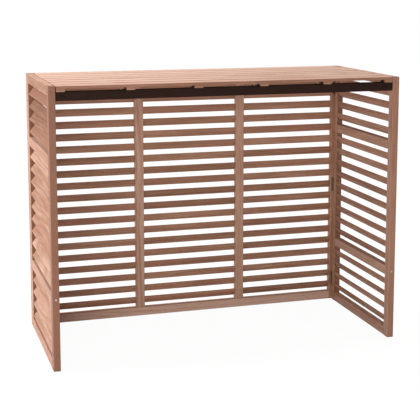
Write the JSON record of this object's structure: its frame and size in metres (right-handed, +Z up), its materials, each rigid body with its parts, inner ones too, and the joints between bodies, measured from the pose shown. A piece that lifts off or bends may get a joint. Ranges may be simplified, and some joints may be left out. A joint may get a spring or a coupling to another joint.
{
  "type": "air conditioner screen",
  "caption": "Slatted hardwood screen with louvred front and side panels, an open back and a lift-off slatted lid, standing round an outdoor air conditioning unit.",
  "frame": {"origin": "on the ground, at the centre of the outline", "axes": "+X along the width, +Y out of the front panel and away from the wall, +Z up"},
  "size_m": [1.05, 0.458, 0.805],
  "materials": {
    "frame_wood": "oiled",
    "slat_wood": "oiled",
    "lid_wood": "oiled, weathered on top",
    "black_steel": "satin black",
    "zinc_steel": "zinc plated",
    "hinge_steel": "dark bronze"
  },
  "bodies": {
    "panels": {"bar_bolts": "black_steel", "bar_lugs": "black_steel", "bar_nuts": "black_steel", "bracket_screws": "zinc_steel", "cross_bar": "black_steel", "frame_screws": "zinc_steel", "front_bottom_rail": "frame_wood", "front_left_mullion": "frame_wood", "front_left_slats": "slat_wood", "front_left_stile": "frame_wood", "front_middle_slats": "slat_wood", "front_right_mullion": "frame_wood", "front_right_slats": "slat_wood", "front_right_stile": "frame_wood", "front_top_rail": "frame_wood", "hinge_pins": "hinge_steel", "hinge_screws": "hinge_steel", "ledger_screws": "zinc_steel", "left_bar_bracket": "black_steel", "left_bottom_rail": "frame_wood", "left_corner_stile": "frame_wood", "left_hinge_front_leaves": "hinge_steel", "left_hinge_side_leaves": "hinge_steel", "left_lower_rail": "frame_wood", "left_lower_slats": "slat_wood", "left_middle_slats": "slat_wood", "left_open_stile": "frame_wood", "left_top_rail": "frame_wood", "left_upper_rail": "frame_wood", "left_upper_slats": "slat_wood", "lid_ledger": "frame_wood", "lug_screws": "zinc_steel", "right_bar_bracket": "black_steel", "right_bottom_rail": "frame_wood", "right_corner_stile": "frame_wood", "right_hinge_front_leaves": "hinge_steel", "right_hinge_side_leaves": "hinge_steel", "right_lower_rail": "frame_wood", "right_lower_slats": "slat_wood", "right_middle_slats": "slat_wood", "right_open_stile": "frame_wood", "right_top_rail": "frame_wood", "right_upper_rail": "frame_wood", "right_upper_slats": "slat_wood"},
    "lid": {"lid_batten_1": "lid_wood", "lid_batten_2": "lid_wood", "lid_batten_3": "lid_wood", "lid_batten_4": "lid_wood", "lid_batten_5": "lid_wood", "lid_batten_6": "lid_wood", "lid_slat_1": "lid_wood", "lid_slat_2": "lid_wood", "lid_slat_3": "lid_wood", "lid_slat_4": "lid_wood", "lid_slat_5": "lid_wood", "lid_slat_6": "lid_wood", "lid_slat_7": "lid_wood"}
  },
  "joints": [
    {"name": "lid_lift", "type": "slide", "parent": "panels", "child": "lid", "axis": [0, 0, 1], "range_m": [0, 0.06]}
  ]
}
